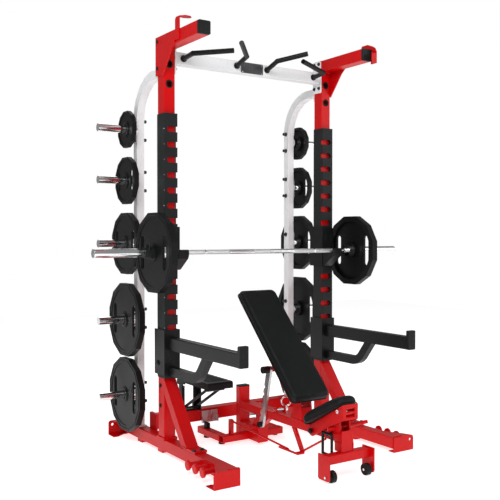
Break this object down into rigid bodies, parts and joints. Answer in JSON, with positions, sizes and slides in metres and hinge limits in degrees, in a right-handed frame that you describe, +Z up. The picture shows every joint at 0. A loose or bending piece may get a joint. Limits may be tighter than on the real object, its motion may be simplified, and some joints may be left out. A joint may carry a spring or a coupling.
{
  "type": "half rack with bench, barbell and plate storage",
  "caption": "Half rack lifting station with bar hooks, safety arms, pull-up grips, stored weight plates, loaded barbell, fold-up step and docked adjustable bench.",
  "frame": {"origin": "floor, under the middle of the whole station", "axes": "+X to the station's left-to-right along the bar, +Y from the bench towards the plate storage, +Z up"},
  "size_m": [2.2, 1.592, 2.514],
  "materials": {
    "red_frame": "semi-gloss red powder coat",
    "black_coated": "satin black powder coat",
    "sleeve_plastic": "satin black moulded sleeve",
    "white_coated": "satin pale grey-white powder coat",
    "steel": "brushed zinc-plated steel",
    "bar_chrome": "bright chrome",
    "fastener": "black oxide",
    "plate_rubber": "moulded rubber",
    "foot_rubber": "matt rubber",
    "upholstery": "matt vinyl leather",
    "badge": "blank gloss plate"
  },
  "bodies": {
    "rack": {"left_base_rail": "red_frame", "right_base_rail": "red_frame", "rear_crossmember": "red_frame", "dock_plates": "steel", "left_upright": "red_frame", "right_upright": "red_frame", "left_wear_sleeve": "sleeve_plastic", "right_wear_sleeve": "sleeve_plastic", "left_brace": "red_frame", "right_brace": "red_frame", "left_top_arm": "red_frame", "right_top_arm": "red_frame", "arm_end_caps": "sleeve_plastic", "rope_hangers": "red_frame", "top_crossmember": "white_coated", "name_plate": "badge", "pull_up_grips": "black_coated", "left_storage_post": "white_coated", "right_storage_post": "white_coated", "plate_horns": "bar_chrome", "frame_fasteners": "fastener", "step_bracket": "black_coated"},
    "left_hook": {"left_bar_hook": "black_coated"},
    "right_hook": {"right_bar_hook": "black_coated"},
    "barbell": {"bar_shaft": "bar_chrome"},
    "left_bar_end": {"left_bar_sleeve": "bar_chrome"},
    "right_bar_end": {"right_bar_sleeve": "bar_chrome"},
    "left_weight": {"left_bar_plate": "plate_rubber"},
    "right_weight": {"right_bar_plate": "plate_rubber"},
    "left_collar": {"left_bar_collar": "sleeve_plastic"},
    "right_collar": {"right_bar_collar": "sleeve_plastic"},
    "left_safety": {"left_safety_arm": "black_coated"},
    "right_safety": {"right_safety_arm": "black_coated"},
    "step": {"step_platform": "black_coated"},
    "step_prop": {"step_strut": "black_coated"},
    "bench": {"bench_frame": "red_frame", "bench_front_foot": "red_frame", "bench_feet": "foot_rubber", "release_linkage": "red_frame", "bench_pins": "bar_chrome", "seat_handle": "black_coated"},
    "backrest": {"backrest_frame": "red_frame", "backrest_pad": "upholstery"},
    "ladder": {"ladder_strut": "steel", "ladder_knobs": "sleeve_plastic"},
    "adjust_pin": {"ladder_pin": "bar_chrome"},
    "seat": {"seat_carriage": "red_frame", "seat_pad": "upholstery"},
    "left_roller": {"left_wheel": "foot_rubber"},
    "right_roller": {"right_wheel": "foot_rubber"},
    "left_disc_1": {"left_plate_1": "plate_rubber"},
    "left_disc_2": {"left_plate_2": "plate_rubber"},
    "left_disc_3": {"left_plate_3": "plate_rubber"},
    "left_disc_4": {"left_plate_4": "plate_rubber"},
    "left_disc_5": {"left_plate_5": "plate_rubber"},
    "right_disc_1": {"right_plate_1": "plate_rubber"},
    "right_disc_2": {"right_plate_2": "plate_rubber"},
    "right_disc_3": {"right_plate_3": "plate_rubber"},
    "right_disc_4": {"right_plate_4": "plate_rubber"},
    "right_disc_5": {"right_plate_5": "plate_rubber"}
  },
  "joints": [
    {"name": "left_hook_height", "type": "slide", "parent": "rack", "child": "left_hook", "axis": [0, 0, 1], "range_m": [0, 0.534]},
    {"name": "right_hook_height", "type": "slide", "parent": "rack", "child": "right_hook", "axis": [0, 0, 1], "range_m": [0, 0.534]},
    {"name": "bar_lift", "type": "slide", "parent": "left_hook", "child": "barbell", "axis": [0, 0, 1], "range_m": [0, 0.12]},
    {"name": "left_end_spin", "type": "hinge", "parent": "barbell", "child": "left_bar_end", "pos_m": [0, 0.054, 1.192], "axis": [1, 0, 0], "continuous": true},
    {"name": "right_end_spin", "type": "hinge", "parent": "barbell", "child": "right_bar_end", "pos_m": [0, 0.054, 1.192], "axis": [1, 0, 0], "continuous": true},
    {"name": "left_collar_slide", "type": "slide", "parent": "left_bar_end", "child": "left_collar", "axis": [-1, 0, 0], "range_m": [0, 0.28]},
    {"name": "left_weight_slide", "type": "slide", "parent": "left_bar_end", "child": "left_weight", "axis": [-1, 0, 0], "range_m": [0, 0.28]},
    {"name": "left_safety_height", "type": "slide", "parent": "rack", "child": "left_safety", "axis": [0, 0, 1], "range_m": [0, 0.267]},
    {"name": "left_disc_1_slide", "type": "slide", "parent": "rack", "child": "left_disc_1", "axis": [-1, 0, 0], "range_m": [0, 0.2]},
    {"name": "left_disc_2_slide", "type": "slide", "parent": "rack", "child": "left_disc_2", "axis": [-1, 0, 0], "range_m": [0, 0.2]},
    {"name": "left_disc_3_slide", "type": "slide", "parent": "rack", "child": "left_disc_3", "axis": [-1, 0, 0], "range_m": [0, 0.2]},
    {"name": "left_disc_4_slide", "type": "slide", "parent": "rack", "child": "left_disc_4", "axis": [-1, 0, 0], "range_m": [0, 0.2]},
    {"name": "left_disc_5_slide", "type": "slide", "parent": "rack", "child": "left_disc_5", "axis": [-1, 0, 0], "range_m": [0, 0.2]},
    {"name": "right_collar_slide", "type": "slide", "parent": "right_bar_end", "child": "right_collar", "axis": [1, 0, 0], "range_m": [0, 0.28]},
    {"name": "right_weight_slide", "type": "slide", "parent": "right_bar_end", "child": "right_weight", "axis": [1, 0, 0], "range_m": [0, 0.28]},
    {"name": "right_safety_height", "type": "slide", "parent": "rack", "child": "right_safety", "axis": [0, 0, 1], "range_m": [0, 0.267]},
    {"name": "right_disc_1_slide", "type": "slide", "parent": "rack", "child": "right_disc_1", "axis": [1, 0, 0], "range_m": [0, 0.2]},
    {"name": "right_disc_2_slide", "type": "slide", "parent": "rack", "child": "right_disc_2", "axis": [1, 0, 0], "range_m": [0, 0.2]},
    {"name": "right_disc_3_slide", "type": "slide", "parent": "rack", "child": "right_disc_3", "axis": [1, 0, 0], "range_m": [0, 0.2]},
    {"name": "right_disc_4_slide", "type": "slide", "parent": "rack", "child": "right_disc_4", "axis": [1, 0, 0], "range_m": [0, 0.2]},
    {"name": "right_disc_5_slide", "type": "slide", "parent": "rack", "child": "right_disc_5", "axis": [1, 0, 0], "range_m": [0, 0.2]},
    {"name": "step_fold", "type": "hinge", "parent": "rack", "child": "step", "pos_m": [-0.316, 0.396, 0.378], "axis": [-1, 0, 0], "range_deg": [0, 85]},
    {"name": "step_prop_fold", "type": "hinge", "parent": "rack", "child": "step_prop", "pos_m": [-0.316, 0.396, 0.206], "axis": [-1, 0, 0], "range_deg": [0, 60]},
    {"name": "bench_travel", "type": "slide", "parent": "rack", "child": "bench", "axis": [0, -1, 0], "range_m": [0, 0.9]},
    {"name": "back_tilt", "type": "hinge", "parent": "bench", "child": "backrest", "pos_m": [0, -0.364, 0.345], "axis": [1, 0, 0], "range_deg": [-45, 1]},
    {"name": "ladder_tilt", "type": "hinge", "parent": "backrest", "child": "ladder", "pos_m": [0, -0.10151, 0.49084], "axis": [1, 0, 0], "range_deg": [-4, 107]},
    {"name": "seat_tilt", "type": "hinge", "parent": "bench", "child": "seat", "pos_m": [0, -0.737, 0.358], "axis": [1, 0, 0], "range_deg": [-1, 28]},
    {"name": "pin_pull", "type": "slide", "parent": "bench", "child": "adjust_pin", "axis": [1, 0, 0], "range_m": [0, 0.025], "stiffness_N_per_m": 300},
    {"name": "left_roll", "type": "hinge", "parent": "bench", "child": "left_roller", "pos_m": [0, -0.764, 0.032], "axis": [1, 0, 0], "continuous": true},
    {"name": "right_roll", "type": "hinge", "parent": "bench", "child": "right_roller", "pos_m": [0, -0.764, 0.032], "axis": [1, 0, 0], "continuous": true}
  ],
  "couplings": [
    {"joint": "right_hook_height", "follows": "left_hook_height", "ratio": 1},
    {"joint": "right_safety_height", "follows": "left_safety_height", "ratio": 1},
    {"joint": "left_collar_slide", "follows": "left_weight_slide", "ratio": 1},
    {"joint": "right_collar_slide", "follows": "right_weight_slide", "ratio": 1},
    {"joint": "step_prop_fold", "follows": "step_fold", "ratio": 0.66},
    {"joint": "ladder_tilt", "follows": "back_tilt", "ratio": -2.36},
    {"joint": "seat_tilt", "follows": "back_tilt", "ratio": -0.615}
  ]
}
